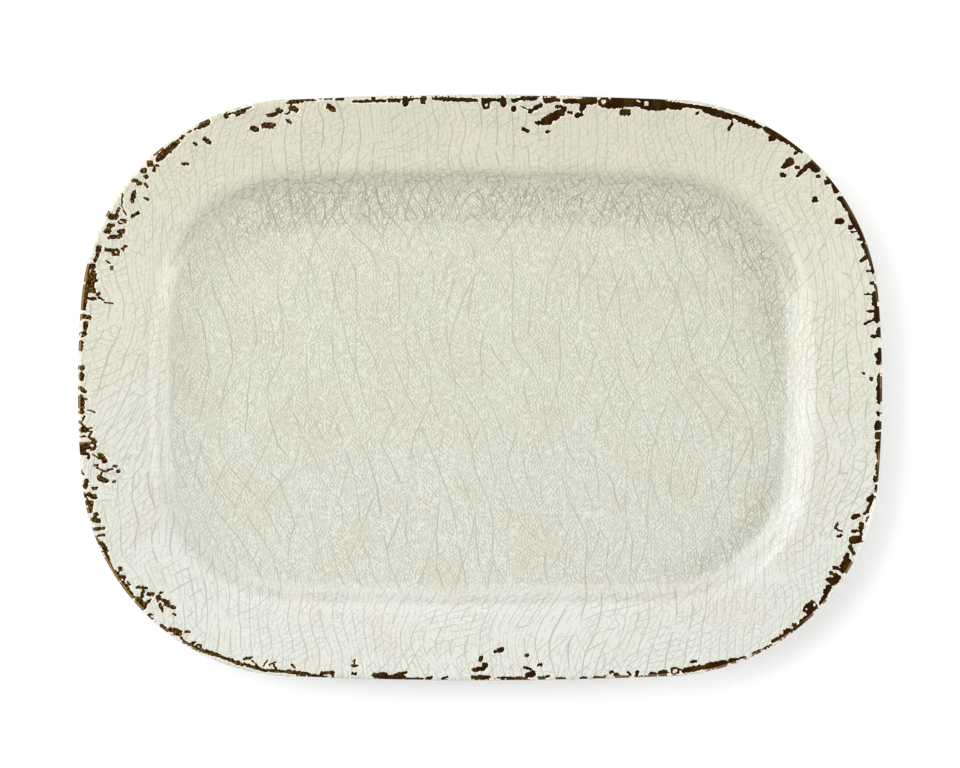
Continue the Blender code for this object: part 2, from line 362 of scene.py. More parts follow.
# Places where the glaze is gone, each an oval: x, y, length and width in millimetres, and the
# length's direction in degrees counterclockwise from the X axis.
BARE_PLACES = [
    # left side, from its upper corner down
    (-217, 91.5, 4, 3), (-209, 91, 4, 3, 10), (-212.5, 88, 8.5, 2.5, 8), (-216.5, 80.5, 5, 2),
    (-212.5, 79, 4.5, 4.5), (-207.5, 82, 4, 2, 45), (-216.5, 73, 4.5, 1, -38), (-214.5, 70, 2, 2.5),
    (-222, 81, 4.5, 3, 65), (-223.5, 76, 6.5, 2, 68), (-228, 70.5, 3.5, 1.5, 75),
    (-225.5, 70.5, 4, 3.5, 60), (-226, 62, 13, 4, 80), (-224, 62.5, 2.5, 1.5, -10),
    (-225.5, 57, 4, 2.5, -60), (-230.5, 54.5, 30.5, 4.5, 82), (-226, 52, 5, 2, 5),
    (-222.5, 54.5, 3, 2, 30), (-221, 52, 4, 1.5, -40), (-216.5, 49.5, 5, 1, -10),
    (-229, 41.5, 6.5, 2.5, -20), (-229.5, 36, 5.5, 3, 75), (-231.5, 31, 5, 3, 20),
    (-232.5, 24.5, 6.5, 3, 80), (-232, 11.5, 3.5, 3), (-232, 6.5, 5.5, 3, 90),
    (-231.5, -1, 5.5, 2.5, -35), (-232.5, -6, 4.5, 2.5, 80), (-229.5, -6.5, 3.5, 1, -10),
    (-232, -10, 5.5, 3.5, 90), (-226.5, -13.5, 5, 1, -15), (-232, -14, 3, 2.5), (-231, -18, 4.5, 1.5, 75),
    (-231.5, -21.5, 5.5, 1.5, -45), (-230.5, -24.5, 6, 3), (-227, -23.5, 3.5, 1, 20),
    (-227, -27, 5, 1.5, 60), (-231, -28.5, 4, 1.5), (-225.5, -30.5, 5, 2, -35), (-226, -34, 5, 5),
    (-230.5, -35.5, 8, 7, 90), (-228, -40.5, 3, 1.5, 90), (-224.5, -39.5, 5, 1, -30),
    (-220, -41, 7, 3, -50), (-223.5, -45, 3, 1.5, 15), (-221.5, -47.5, 4.5, 1, -28),
    (-217, -48, 7, 1.5, 20), (-213, -46, 3, 1.5), (-221, -50.5, 4, 1, 55), (-220, -53.5, 7, 3, -25),
    (-211, -49, 2.5, 2), (-213.5, -54.5, 2.5, 1.5, 45), (-231.5, -49.5, 4.5, 1, -65),
    (-229.5, -56, 6, 3, 85), (-224.5, -58.5, 4, 1.5, 5), (-226, -63, 6, 3, -20),
    (-229.5, -63.5, 5, 1.5, -60), (-227.5, -67, 4.5, 3), (-227, -70.5, 5.5, 3, 80),
    (-223.5, -74, 3, 2.5, 45), (-224, -77, 6.5, 2.5, -15), (-222, -82, 7.5, 2, 5),
    (-221, -86, 5, 1.5, 10), (-222.5, -89, 5, 1.5, -60), (-219, -93, 7, 3, -55),
    (-217.5, -97.5, 7.5, 2, -58), (-216, -101.5, 6.5, 2, -60), (-214, -105.5, 4, 1, -60),
    (-209.5, -105.5, 2.5, 2.5), (-211, -109.5, 7.5, 3, -55), (-208.5, -111, 4.5, 4),
    (-204.5, -114, 3.5, 1.5, -45), (-206.5, -115.5, 7.5, 2.5, -50),
    # lower left corner and the bottom side, left to right
    (-205.5, -118, 12, 3, -49), (-197, -116.5, 7, 1.5, -5), (-196.5, -120, 5.5, 2, 70),
    (-197.5, -125.5, 8.5, 4.5, -50), (-193.5, -124.5, 4.5, 1.5, 30), (-192, -120.5, 4.5, 2.5),
    (-186, -119.5, 3, 1.5), (-187.5, -122.5, 3, 3), (-183.5, -124.5, 6, 2, -20),
    (-186, -127.5, 6, 2, -70), (-180.5, -127.5, 7.5, 2, -20), (-178.5, -132, 2.5, 1.5),
    (-191.5, -133, 4, 3, -30), (-184, -140, 6.5, 2.5, -42), (-177.5, -142, 8, 4, -15),
    (-170.5, -142, 3.5, 1.5), (-173, -147, 5, 1.5, -50), (-167.5, -149, 5, 1.5, 30),
    (-167.5, -150.5, 10.5, 1.5, -28), (-164, -150.5, 3.5, 3), (-161.5, -153, 13, 2, -25),
    (-155, -155, 11.5, 2.5, -20), (-147, -158, 7.5, 2, -15), (-140.5, -160.5, 6.5, 2.5, -20),
    (-135.5, -157.5, 5.5, 1.5, 8), (-131.5, -160, 4.5, 1, -45), (-130.5, -163, 15, 2, -17),
    (-125, -160.5, 5, 1, 55), (-121, -160.5, 4.5, 1, 30), (-119.5, -162.5, 4.5, 1.5, -60),
    (-119, -165, 10.5, 2, -5), (-109, -162, 3.5, 1, -40), (-107, -166, 15.5, 2.5, -7),
    (-96.5, -167.5, 8, 1.5, -3), (-89.5, -166.5, 7, 3, 5), (-85.5, -166.5, 3.5, 2.5, 70),
    (-73.5, -166.5, 3.5, 1.5, -10), (-73, -159.5, 3, 1.5, 80), (-73, -162, 3.5, 1.5, 10),
    (-60.5, -167.5, 5, 2.5), (-51.5, -168.5, 16.5, 2.5), (-56, -167, 4.5, 2.5), (-47.5, -167.5, 5, 3),
    (-45, -166, 5, 1, 5), (-39.5, -169.5, 13, 1), (-29.5, -169, 4.5, 1.5, 15), (-20.5, -169, 5, 1.5, 15),
    (0.5, -168.5, 11.5, 2.5), (-0.5, -164, 8.5, 2.5, 10), (3, -161.5, 4, 3), (0.5, -158, 4, 2.5, 60),
    (9, -154, 2.5, 1.5, 10), (12, -153, 4, 3), (27.5, -156, 3, 2), (28, -163.5, 5.5, 1.5, -15),
    (29.5, -167, 6.5, 3.5, 20), (35, -161.5, 3.5, 1.5, -10), (18.5, -169, 18.5, 1.5), (36, -169, 4.5, 2),
    (39.5, -168, 3.5, 1.5), (47, -169, 6, 1), (60.5, -169, 4.5, 1.5), (69.5, -168.5, 7.5, 1.5),
    (76.5, -165.5, 3, 1.5, 15), (80, -167.5, 4.5, 2.5, -20), (84, -168.5, 5, 1.5),
    (87, -166.5, 3, 1.5, -50), (91.5, -166.5, 4, 2, 80), (97.5, -168.5, 13, 1.5, 2), (100.5, -167, 5, 3),
    (106.5, -166, 6.5, 3, 10), (113.5, -165, 5, 4.5), (123.5, -164, 13.5, 3.5, 10),
    (124.5, -159.5, 4, 1.5, 10), (137, -161.5, 15.5, 4, 12), (147, -159, 4.5, 3, 15),
    (152, -157.5, 6.5, 1.5, 17), (161, -154, 7, 1.5, 25),
    # lower right corner and the right side, upwards
    (167, -151, 6.5, 1, 25), (174.5, -145.5, 11, 2.5, 27), (179, -142, 5, 3, 20),
    (184, -139.5, 8.5, 1.5, 36), (183, -138, 3, 2), (190, -134, 10.5, 3, 42), (192.5, -128, 8.5, 6.5, 40),
    (200, -123, 7.5, 2.5, 52), (202.5, -117.5, 6, 3.5, 60), (206.5, -111.5, 7.5, 6, 40),
    (203, -111.5, 3.5, 1.5), (204.5, -108, 2.5, 2.5), (213, -103.5, 9.5, 5.5, 58), (208, -105, 5.5, 2.5),
    (213.5, -98, 4, 2.5, 50), (216.5, -94.5, 6.5, 2.5, -62), (219, -88.5, 7.5, 4.5, 10),
    (218.5, -83.5, 4.5, 2, 5), (222, -85, 2, 2), (222, -80.5, 5, 3, 80), (219, -75, 5.5, 3, 25),
    (225.5, -76.5, 4, 1, 60), (209.5, -86.5, 3.5, 1.5, 15), (209.5, -83, 4.5, 1, -25),
    (208, -80.5, 4, 1.5, 65), (224.5, -73, 4, 1.5, 30), (226, -70.5, 5, 2, 75),
    (227.5, -67.5, 3, 1.5, 60), (227.5, -64.5, 5, 3.5, 40), (230.5, -58.5, 4.5, 1, 80),
    (230.5, -53, 4, 3, 80), (231.5, -47, 8, 2.5, 85), (232, -40.5, 4, 2.5, 90), (232, -35, 8, 3.5, 90),
    (232, -28, 4.5, 4, 90), (232, -22, 6, 4, 75), (232, -15, 2.5, 2.5), (232.5, -0.5, 17.5, 3, 90),
    (228, 5, 2.5, 2.5), (223.5, 8.5, 2.5, 1.5, -30), (232.5, 18, 10, 3, 85), (231.5, 19, 3.5, 2.5),
    (229.5, 30, 4, 1.5), (232.5, 32, 6, 3.5, 90), (227, 38.5, 7, 1.5, 25), (227.5, 44.5, 4.5, 1.5),
    (231, 42.5, 10, 3.5, 90), (226, 54.5, 5, 1), (230, 52, 9.5, 3.5, 88), (230.5, 58, 4.5, 1, -75),
    (228.5, 61, 3, 1.5), (227.5, 68, 4.5, 1.5), (228, 72, 11, 2, -75), (224, 75.5, 6.5, 2.5, 35),
    (224.5, 81, 8, 3, -65), (221, 86.5, 2.5, 1.5), (222.5, 88, 8, 2.5, -62), (217.5, 91, 4.5, 1),
    (216, 93.5, 3, 2.5), (218.5, 96.5, 13.5, 4, -62), (215.5, 103, 2.5, 2), (212.5, 107, 10, 3.5, -62),
    (209.5, 97, 5.5, 3.5),
    # upper right corner and the top side, right to left
    (209, 110.5, 2.5, 2), (207, 116, 6, 3.5, -65), (202, 119.5, 3.5, 3), (204, 121, 6, 2.5, -50),
    (195.5, 109.5, 3.5, 3.5), (197, 123, 2.5, 2), (195, 129, 8.5, 6, -38), (188.5, 127, 11.5, 2.5, 48),
    (185, 128.5, 3, 2), (177, 124, 4, 2.5, -15), (180.5, 131.5, 5, 5), (177.5, 129, 4, 3, 30),
    (184.5, 137, 5, 1.5, 35), (184, 140.5, 11.5, 3.5, -33), (172.5, 147, 18, 3.5, -30),
    (170, 145, 4.5, 3), (155.5, 155, 18, 3.5, -22), (146, 152.5, 6, 2, 65), (138.5, 160, 18.5, 4.5, -16),
    (127, 160, 3, 1.5, 40), (123.5, 164, 16.5, 2.5, -7), (112, 164.5, 14, 4.5, -6),
    (101, 165, 17.5, 7, -4), (89, 166.5, 15, 6), (84.5, 160.5, 6.5, 4), (77, 166, 16.5, 6.5),
    (63, 167, 11.5, 4.5, 5), (59.5, 163, 5, 3, 50), (57.5, 159, 5, 2.5, 15), (52.5, 160.5, 3, 1.5, -10),
    (53, 167, 10.5, 3), (49, 162.5, 3, 3), (45.5, 163.5, 3.5, 2), (42.5, 158, 14.5, 5, 28),
    (37, 154.5, 10.5, 2.5), (39.5, 149.5, 3, 1.5, 20), (41, 167.5, 11.5, 3.5), (33.5, 163.5, 7, 2.5, 28),
    (29.5, 161, 3, 2.5), (26, 163, 5, 1, -22), (28.5, 168.5, 13, 2.5), (20.5, 167.5, 5, 2.5),
    (19.5, 162.5, 3, 3.5), (26.5, 150.5, 5, 2, -20), (13.5, 166.5, 6, 3.5, 90), (9.5, 167.5, 6, 1.5),
    (3.5, 164.5, 5, 4.5), (4, 167.5, 7, 3), (-15, 168, 27, 2.5, -2), (-33, 167.5, 5, 3, 80),
    (-38, 168.5, 6, 1), (-43.5, 166.5, 6, 3.5, 85), (-42, 168, 7.5, 2), (-50, 167.5, 7.5, 2.5),
    (-64.5, 167, 20.5, 2, 2), (-62, 168.5, 2.5, 2.5), (-87, 163, 6.5, 3, -28), (-81.5, 168, 5, 1.5),
    (-89.5, 168.5, 8, 1), (-98.5, 167.5, 7.5, 1), (-107.5, 166.5, 11.5, 2, 6),
    # upper left corner, down to the left side
    (-108.5, 162.5, 6, 3, -25), (-117, 161.5, 4, 2.5, -25), (-112, 160, 3.5, 1.5, 20),
    (-121, 159, 6.5, 2.5, 5), (-111.5, 155.5, 3.5, 2, -30), (-123.5, 153, 8.5, 3.5),
    (-131.5, 151, 5.5, 3, -15), (-135, 163, 5, 1, 20), (-139.5, 160.5, 7, 3, 30),
    (-144.5, 160, 8, 1.5, 12), (-148, 158, 3.5, 2, -35), (-160.5, 153.5, 8, 3.5, 28),
    (-159, 144, 5.5, 3, -38), (-166, 142, 3.5, 1.5, -25), (-172, 130.5, 4.5, 1.5, -8),
    (-173.5, 146, 4, 2, 40), (-167.5, 150, 6, 1, 25), (-182, 138, 18, 4, 42), (-187.5, 137.5, 7, 1, 42),
    (-192, 130.5, 4, 3.5), (-188, 129.5, 2.5, 1.5), (-190, 127, 2, 3), (-196, 126.5, 4, 3),
    (-194.5, 123, 3, 2.5, -50), (-194.5, 118, 3.5, 2, -60), (-198.5, 119, 3, 2.5),
    (-201, 120.5, 3.5, 2.5), (-202, 111.5, 8, 2.5, 80), (-194.5, 110, 3.5, 1.5, -28),
    (-208.5, 109, 8, 1, 86), (-207, 102, 3.5, 1, -55), (-201, 101, 6, 2, 33), (-213.5, 99.5, 6, 3.5),
    (-211, 103, 4.5, 1.5, 70), (-216.5, 101.5, 4.5, 1, 60), (-208.5, 97, 5, 3), (-215, 94.5, 5, 2.5),
    (-217, 91.5, 4, 3), (-209, 91.5, 4, 1.5),
]

# Spots of glaze left standing inside the bare places.
GLAZE_ISLANDS = [
    (-212.5, 79, 1.5, 1.5), (-231, 44, 3.5, 2.5), (-230.5, 61, 1.5, 1.5, 80), (-232.5, 30.5, 1.5, 1.5),
    (-226, -33.5, 2, 2), (-228, -36.5, 2.5, 2), (-208.5, -111.5, 1.5, 1.5), (-190.5, -133.5, 2, 1.5),
    (-180, -143, 3.5, 1.5, -15), (-163.5, -151, 1.5, 1.5), (-89.5, -167.5, 3.5, 1),
    (113.5, -165, 2.5, 2.5), (194.5, -126.5, 1.5, 2), (190, -129, 1.5, 1.5), (205, -110, 1.5, 1.5),
    (209.5, -104.5, 1.5, 1.5), (72, 166.5, 2.5, 3), (75.5, 168.5, 1.5, 1.5), (85.5, 163, 1.5, 1.5),
    (92.5, 167, 2.5, 1.5, -20), (97, 165.5, 2.5, 2.5), (3.5, 164.5, 2, 2), (34.5, 167, 4, 3, 40),
    (43, 165.5, 6, 1.5, 10), (-209, 96.5, 2, 1),
]

CHIP_SLOPE = 0.5 * MM  # width of the sloping side of a chip
SPREAD = 0.13 * MM  # every bare place is this much wider all round
BLEND = 0.45 * MM  # bare places nearer than this run together
RAGGED = 0.80 * MM  # how far noise moves the edge of a chip
RAGGED_SIZE = 1.05 * MM  # how wide its teeth are along the rim
RAGGED_LENGTH = 1.9  # how much longer they are across it
SQUARENESS = 3.0  # 2 is an ellipse
RAGGED_REACH = 2.5 * RAGGED  # noise is added this near the edge of a chip
FINER_TEETH = 2.1  # a second set of teeth is this much finer
FINER_SHARE = 0.45  # and this high, as a share of the first
LIP_REACH = 1.3 * MM  # a chip that comes this near the lip's edge runs over it
UNDER_LIP_FADE = 0.7  # chips die out this steeply below the lip's outermost edge
OVAL_REACH = 3 * MM  # distances from the ovals are worked out up to here
NEVER_ZERO = 1e-7
LEVEL_GAP = 0.01 * MM


def oval_distance(x, y, cx, cy, length, width, turn=0):
    """Signed distance from an oval's edge, negative inside; good near the edge."""
    angle = math.radians(turn)
    dx, dy = x - cx * MM, y - cy * MM
    along = np.abs(dx * math.cos(angle) + dy * math.sin(angle)) + NEVER_ZERO
    across = np.abs(dy * math.cos(angle) - dx * math.sin(angle)) + NEVER_ZERO
    a, b = length * MM / 2, width * MM / 2
    power = SQUARENESS
    total = (along / a) ** power + (across / b) ** power
    scaled = total ** (1 / power)
    slope_along = total ** (1 / power - 1) * (along / a) ** (power - 1) / a
    slope_across = total ** (1 / power - 1) * (across / b) ** (power - 1) / b
    return (scaled - 1) / np.hypot(slope_along, slope_across)


def nearest_oval(x, y, ovals):
    """Distance to the nearest of the ovals at each place; near ones blend into each other."""
    nearest = np.full(x.shape, OVAL_REACH)
    for oval in ovals:
        cx, cy, length = oval[0] * MM, oval[1] * MM, oval[2] * MM
        near = np.hypot(x - cx, y - cy) < length / 2 + OVAL_REACH
        a, b = nearest[near], oval_distance(x[near], y[near], *oval)
        overlap = np.maximum(BLEND - np.abs(a - b), 0.0)
        nearest[near] = np.minimum(a, b) - overlap**2 / (4 * BLEND)
    return nearest


def ragged(distance, inwards):
    """Noise for the edges of the chips, drawn out across the rim so that they look toothed."""
    radius = distance.max() / (2 * math.pi)
    shifts = np.zeros(len(distance))
    for i, (angle, depth) in enumerate(zip(distance / radius, inwards / RAGGED_LENGTH)):
        place = Vector((radius * math.cos(angle), radius * math.sin(angle), depth)) / RAGGED_SIZE
        shifts[i] = noise.noise(place) + FINER_SHARE * noise.noise(place * FINER_TEETH)
    return shifts


def glaze_left(columns, rows):
    """Distance from the edge of the nearest chip, positive where the glaze is still there."""
    distance, plan, normals = columns
    inset = np.array([row[0] for row in rows])
    below_edge = np.array([row[4] for row in rows])
    steps = [math.dist(row[:2], after[:2]) for row, after in zip(rows, rows[1:])]
    inwards = np.cumsum([0.0] + steps)
    reached = np.maximum(inset, LIP_REACH)
    x, y = np.moveaxis(plan[:, None] - normals[:, None] * reached[None, :, None], -1, 0)
    left = nearest_oval(x, y, BARE_PLACES) - SPREAD
    left = np.maximum(left, -nearest_oval(x, y, GLAZE_ISLANDS) - SPREAD)
    left = left + UNDER_LIP_FADE * below_edge
    unsure = np.abs(left) < RAGGED_REACH
    everywhere = np.broadcast_arrays(distance[:, None], inwards[None, :])
    left[unsure] += RAGGED * ragged(*(values[unsure] for values in everywhere))
    # no value may fall on a level that the mesh is cut at
    for level in (0.0, CHIP_SLOPE):
        left = np.where(np.abs(left - level) < LEVEL_GAP, level + LEVEL_GAP, left)
    # both ends of the rows stay whole, so that the mesh can be closed there
    left[:, :2] = left[:, -2:] = 2 * CHIP_SLOPE
    return left


# ---------------------------------------------------------------- glaze on the rim

CHIPPED_INSET = 23 * MM  # chips stay outside this inset
WIDE_ROW = 1.75 * MM


def rim_rows():
    """Rows of the rim's glaze from under the lip, over it and in: inset, z, normal and drop."""
    rows = []
    steps = round(LIP_RADIUS * math.pi / LIP_ROW)
    for i in range(steps + 1):
        angle = LIP_UNDER + (LIP_TOP - LIP_UNDER) * i / steps
        inset, z = lip_point(0.0, angle)
        rows.append((inset, z, -math.cos(angle), math.sin(angle), max(0.0, -angle) * LIP_RADIUS))
    inset, z = rows[-1][:2]
    fine = round((CHIPPED_INSET - inset) / FINE_STEP)
    wide = round((RIM_WIDTH - CHIPPED_INSET) / WIDE_ROW)
    insets = [inset + (CHIPPED_INSET - inset) * i / fine for i in range(1, fine + 1)]
    insets += [CHIPPED_INSET + (RIM_WIDTH - CHIPPED_INSET) * i / wide for i in range(1, wide + 1)]
    for place in insets:
        fall = (place - inset) * math.tan(FLANGE_SLOPE)
        rows.append((place, z - fall, math.sin(FLANGE_SLOPE), math.cos(FLANGE_SLOPE), 0.0))
    return rows


class RimGlaze:
    """Mesh of the rim's glaze: a skin, its underside, and a sloping side round every chip.

    A node is a (column, row) of the fine grid; a crossing is where a side between two nodes meets
    one of the two levels of the chip field, its foot (0) and its brink (CHIP_SLOPE).
    """

    def __init__(self, columns):
        _, self.plan, self.normals = columns
        self.rows = rim_rows()
        self.field = glaze_left(columns, self.rows)
        self.points = []
        self.insets = []
        self.chipped = []
        self.faces = []
        self.known = {}

    def place(self, node, depth):
        i, j = node
        inset, z, n_inset, n_z, _ = self.rows[j]
        x, y = self.plan[i] - self.normals[i] * (inset - depth * n_inset)
        return (x, y, z - depth * n_z)

    def add(self, key, point, inset, chipped):
        if key not in self.known:
            self.known[key] = len(self.points)
            self.points.append(point)
            self.insets.append(inset)
            self.chipped.append(chipped)
        return self.known[key]

    def node_vertex(self, node, below):
        value = self.field[node]
        whole = min(max(value / CHIP_SLOPE, 0.0), 1.0)
        depth = GLAZE if below else GLAZE * (1 - whole)
        return self.add((node, below), self.place(node, depth), self.rows[node[1]][0], 1 - whole)

    def crossing_vertex(self, crossing):
        (a, b), level = crossing
        share = (level - self.field[a]) / (self.field[b] - self.field[a])
        depth = 0.0 if level else GLAZE
        start, end = self.place(a, depth), self.place(b, depth)
        point = tuple(p + (q - p) * share for p, q in zip(start, end))
        inset = self.rows[a[1]][0] + (self.rows[b[1]][0] - self.rows[a[1]][0]) * share
        return self.add(crossing, point, inset, 0.0 if level else 1.0)

    def vertex(self, spot, below):
        kind, key, _ = spot
        return self.node_vertex(key, below) if kind == "node" else self.crossing_vertex(key)

    def add_face(self, spots, below):
        if len(spots) >= 3:
            face = [self.vertex(spot, below) for spot in spots]
            self.faces.append(face[::-1] if below else face)

    def spots_round(self, corners):
        """A triangle's nodes and crossings in order, each with its value in the chip field."""
        spots = []
        for a, b in zip(corners, corners[1:] + corners[:1]):
            fa, fb = self.field[a], self.field[b]
            spots.append(("node", a, fa))
            side = (min(a, b), max(a, b))
            levels = [level for level in (0.0, CHIP_SLOPE) if (fa < level) != (fb < level)]
            for level in levels if fa < fb else levels[::-1]:
                spots.append(("crossing", (side, level), level))
        return spots

    def cut_triangle(self, corners):
        spots = self.spots_round(corners)
        self.add_face([spot for spot in spots if spot[2] >= CHIP_SLOPE], False)
        self.add_face([spot for spot in spots if 0.0 <= spot[2] <= CHIP_SLOPE], False)
        under = [spot for spot in spots if spot[2] >= 0.0]
        self.add_face([s for s in under if s[0] == "node" or s[2] == 0.0], True)

    def cut_cell(self, i, j):
        count = len(self.plan)
        a, b = (i, j), ((i + 1) % count, j)
        c, d = ((i + 1) % count, j + 1), (i, j + 1)
        values = [self.field[node] for node in (a, b, c, d)]
        if max(values) < 0:
            return
        if min(values) >= CHIP_SLOPE:
            spots = [("node", node, 0.0) for node in (a, b, c, d)]
            self.add_face(spots, False)
            self.add_face(spots, True)
            return
        self.cut_triangle([a, b, c])
        self.cut_triangle([a, c, d])

    def build(self):
        count, height = self.field.shape
        blocks = count // BLOCK
        spans = [[(k * BLOCK + s) % count for s in range(BLOCK + 1)] for k in range(blocks)]
        whole = np.array([[self.field[span, j:j + 2].min() >= CHIP_SLOPE
                           for j in range(height - 1)] for span in spans])
        for k, span in enumerate(spans):
            for j in range(height - 1):
                if not whole[k, j]:
                    for i in span[:-1]:
                        self.cut_cell(i, j)
                    continue
                near = span if j > 0 and not whole[k, j - 1] else [span[0], span[-1]]
                far = span if j + 2 < height and not whole[k, j + 1] else [span[0], span[-1]]
                spots = [("node", (i, j), 0.0) for i in near]
                spots += [("node", (i, j + 1), 0.0) for i in far[::-1]]
                self.add_face(spots, False)
                self.add_face(spots, True)
            self.close_end(span, 0, True)
            self.close_end(span, height - 1, False)

    def close_end(self, span, j, outer):
        start, end = (span[0], j), (span[-1], j)
        wall = [self.node_vertex(end, False), self.node_vertex(start, False),
                self.node_vertex(start, True), self.node_vertex(end, True)]
        self.faces.append(wall if outer else wall[::-1])


# ---------------------------------------------------------------- materials

WELL_HEIGHT = 6.5 * MM
UNFOLDING = 0.7  # how far patterns move outward for each millimetre of height


class Look:
    """A material and short ways to add nodes to it. Lengths in its maths are millimetres."""

    def __init__(self, name):
        self.material = bpy.data.materials.new(name)
        self.material.use_nodes = True
        self.nodes = self.material.node_tree.nodes
        self.links = self.material.node_tree.links
        self.principled = self.nodes["Principled BSDF"]
        place = self.nodes.new("ShaderNodeTexCoord").outputs["Object"]
        self.place = self.unfolded(self.vector_maths("SCALE", place, scale=1 / MM))
        self.x, self.y, _ = self.split(self.place)
        self.inset = self.times(self.attribute("inset"), 1 / MM)

    def unfolded(self, place):
        """Places moved outward with their height, so that patterns don't smear on steep sides."""
        rise = self.less(self.split(place)["Z"], WELL_HEIGHT / MM)
        rise = self.times(self.larger(rise, 0.0), UNFOLDING)
        outward = self.vector_maths("NORMALIZE", self.vector_maths("MULTIPLY", place, (1, 1, 0)))
        return self.pushed(place, outward, rise)

    def pushed(self, place, direction, reach):
        push = self.vector_maths("SCALE", direction, scale=reach)
        return self.vector_maths("ADD", place, push)

    def feed(self, socket, value):
        if isinstance(value, bpy.types.NodeSocket):
            self.links.new(value, socket)
        else:
            socket.default_value = value

    def maths(self, operation, *values):
        node = self.nodes.new("ShaderNodeMath")
        node.operation = operation
        for socket, value in zip(node.inputs, values):
            self.feed(socket, value)
        return node.outputs[0]

    def times(self, a, b):
        return self.maths("MULTIPLY", a, b)

    def times_plus(self, a, b, c):
        return self.maths("MULTIPLY_ADD", a, b, c)

    def less(self, a, b):
        return self.maths("SUBTRACT", a, b)

    def larger(self, a, b):
        return self.maths("MAXIMUM", a, b)

    def vector_maths(self, operation, a, b=(0, 0, 0), scale=1.0):
        node = self.nodes.new("ShaderNodeVectorMath")
        node.operation = operation
        self.feed(node.inputs[0], a)
        self.feed(node.inputs[1], b)
        if operation == "SCALE":
            self.feed(node.inputs["Scale"], scale)
        return node.outputs["Value" if operation == "LENGTH" else "Vector"]

    def split(self, vector):
        node = self.nodes.new("ShaderNodeSeparateXYZ")
        self.feed(node.inputs[0], vector)
        return node.outputs

    def join(self, x, y, z):
        node = self.nodes.new("ShaderNodeCombineXYZ")
        for socket, value in zip(node.inputs, (x, y, z)):
            self.feed(socket, value)
        return node.outputs[0]

    def moved(self, place, x, y):
        return self.vector_maths("ADD", place, (x, y, 0.0))

    def attribute(self, name):
        node = self.nodes.new("ShaderNodeAttribute")
        node.attribute_name = name
        return node.outputs["Fac"]

    def random_value(self, vector):
        node = self.nodes.new("ShaderNodeTexWhiteNoise")
        self.feed(node.inputs["Vector"], vector)
        return node.outputs["Value"]

    def ramp(self, value, start, end, low=0.0, high=1.0):
        """Goes smoothly from low at start to high at end."""
        node = self.nodes.new("ShaderNodeMapRange")
        node.interpolation_type = "SMOOTHSTEP"
        for name, given in (("Value", value), ("From Min", start), ("From Max", end),
                            ("To Min", low), ("To Max", high)):
            self.feed(node.inputs[name], given)
        return node.outputs["Result"]

    def peak(self, value, centre, reach):
        """1 at the centre, falling to 0 at the given reach on either side."""
        off = self.maths("ABSOLUTE", self.less(value, centre))
        return self.ramp(off, 0.0, reach, 1.0, 0.0)

    def stripe(self, phase, spacing, width):
        """1 on evenly spaced lines of a phase, falling to 0 at the line's width."""
        off = self.maths("ABSOLUTE", self.less(self.maths("FRACT", phase), 0.5))
        return self.ramp(self.times(off, spacing), 0.0, width, 1.0, 0.0)

    def noise(self, place, size, detail=2.0, colour=False):
        node = self.nodes.new("ShaderNodeTexNoise")
        node.noise_dimensions = "2D"
        self.feed(node.inputs["Vector"], place)
        self.feed(node.inputs["Scale"], 1 / size)
        self.feed(node.inputs["Detail"], detail)
        return node.outputs["Color" if colour else "Fac"]

    def patches(self, size, start, end, detail=0.0, shift=(0.0, 0.0)):
        """1 where a noise is above end, 0 where it is below start."""
        return self.ramp(self.noise(self.moved(self.place, *shift), size, detail), start, end)

    def warped(self, size, reach):
        """Places moved about by up to reach, over distances of size."""
        shift = self.noise(self.place, size, 0.0, colour=True)
        shift = self.vector_maths("SUBTRACT", shift, (0.5, 0.5, 0.5))
        return self.pushed(self.place, shift, 2 * reach)

    def turned(self, place, angle):
        node = self.nodes.new("ShaderNodeVectorRotate")
        node.rotation_type = "Z_AXIS"
        self.feed(node.inputs["Vector"], place)
        self.feed(node.inputs["Angle"], angle)
        return node.outputs[0]

    def mix(self, share, a, b, blend="MIX"):
        node = self.nodes.new("ShaderNodeMix")
        node.data_type = "RGBA"
        node.blend_type = blend
        self.feed(node.inputs["Factor"], share)
        colours = [socket for socket in node.inputs if socket.type == "RGBA"]
        self.feed(colours[0], a)
        self.feed(colours[1], b)
        return [socket for socket in node.outputs if socket.type == "RGBA"][0]

    def bump(self, height, distance, strength=1.0):
        node = self.nodes.new("ShaderNodeBump")
        self.feed(node.inputs["Height"], height)
        node.inputs["Distance"].default_value = distance
        node.inputs["Strength"].default_value = strength
        self.links.new(node.outputs[0], self.principled.inputs["Normal"])

    def surface(self, colour, roughness, specular=0.5):
        self.feed(self.principled.inputs["Base Color"], colour)
        self.feed(self.principled.inputs["Roughness"], roughness)
        self.principled.inputs["IOR"].default_value = 1.5
        self.principled.inputs["Specular IOR Level"].default_value = specular
        return self.material


IVORY = (0.600, 0.588, 0.478, 1)
# painted shade: the ivory darkened for the +Y side of the flange, which faces away from the light
IVORY_PAINTED_SHADE = (0.550, 0.535, 0.420, 1)
IVORY_WARM = (0.612, 0.580, 0.485, 1)
# painted light: the ivory paled and cooled for the -Y side of the flange, which mirrors the light above
IVORY_PAINTED_LIGHT = (0.617, 0.629, 0.575, 1)
IVORY_WELL = (0.676, 0.682, 0.588, 1)
CRACK = (0.300, 0.300, 0.229, 1)
STAIN = (0.200, 0.185, 0.130, 1)
CHIP_EDGE = (0.720, 0.680, 0.590, 1)
SLIP_DARK = (0.021, 0.0062, 0.0001, 1)
SLIP_BROWN = (0.038, 0.020, 0.0004, 1)
SLIP_SPECK = (0.145, 0.082, 0.015, 1)
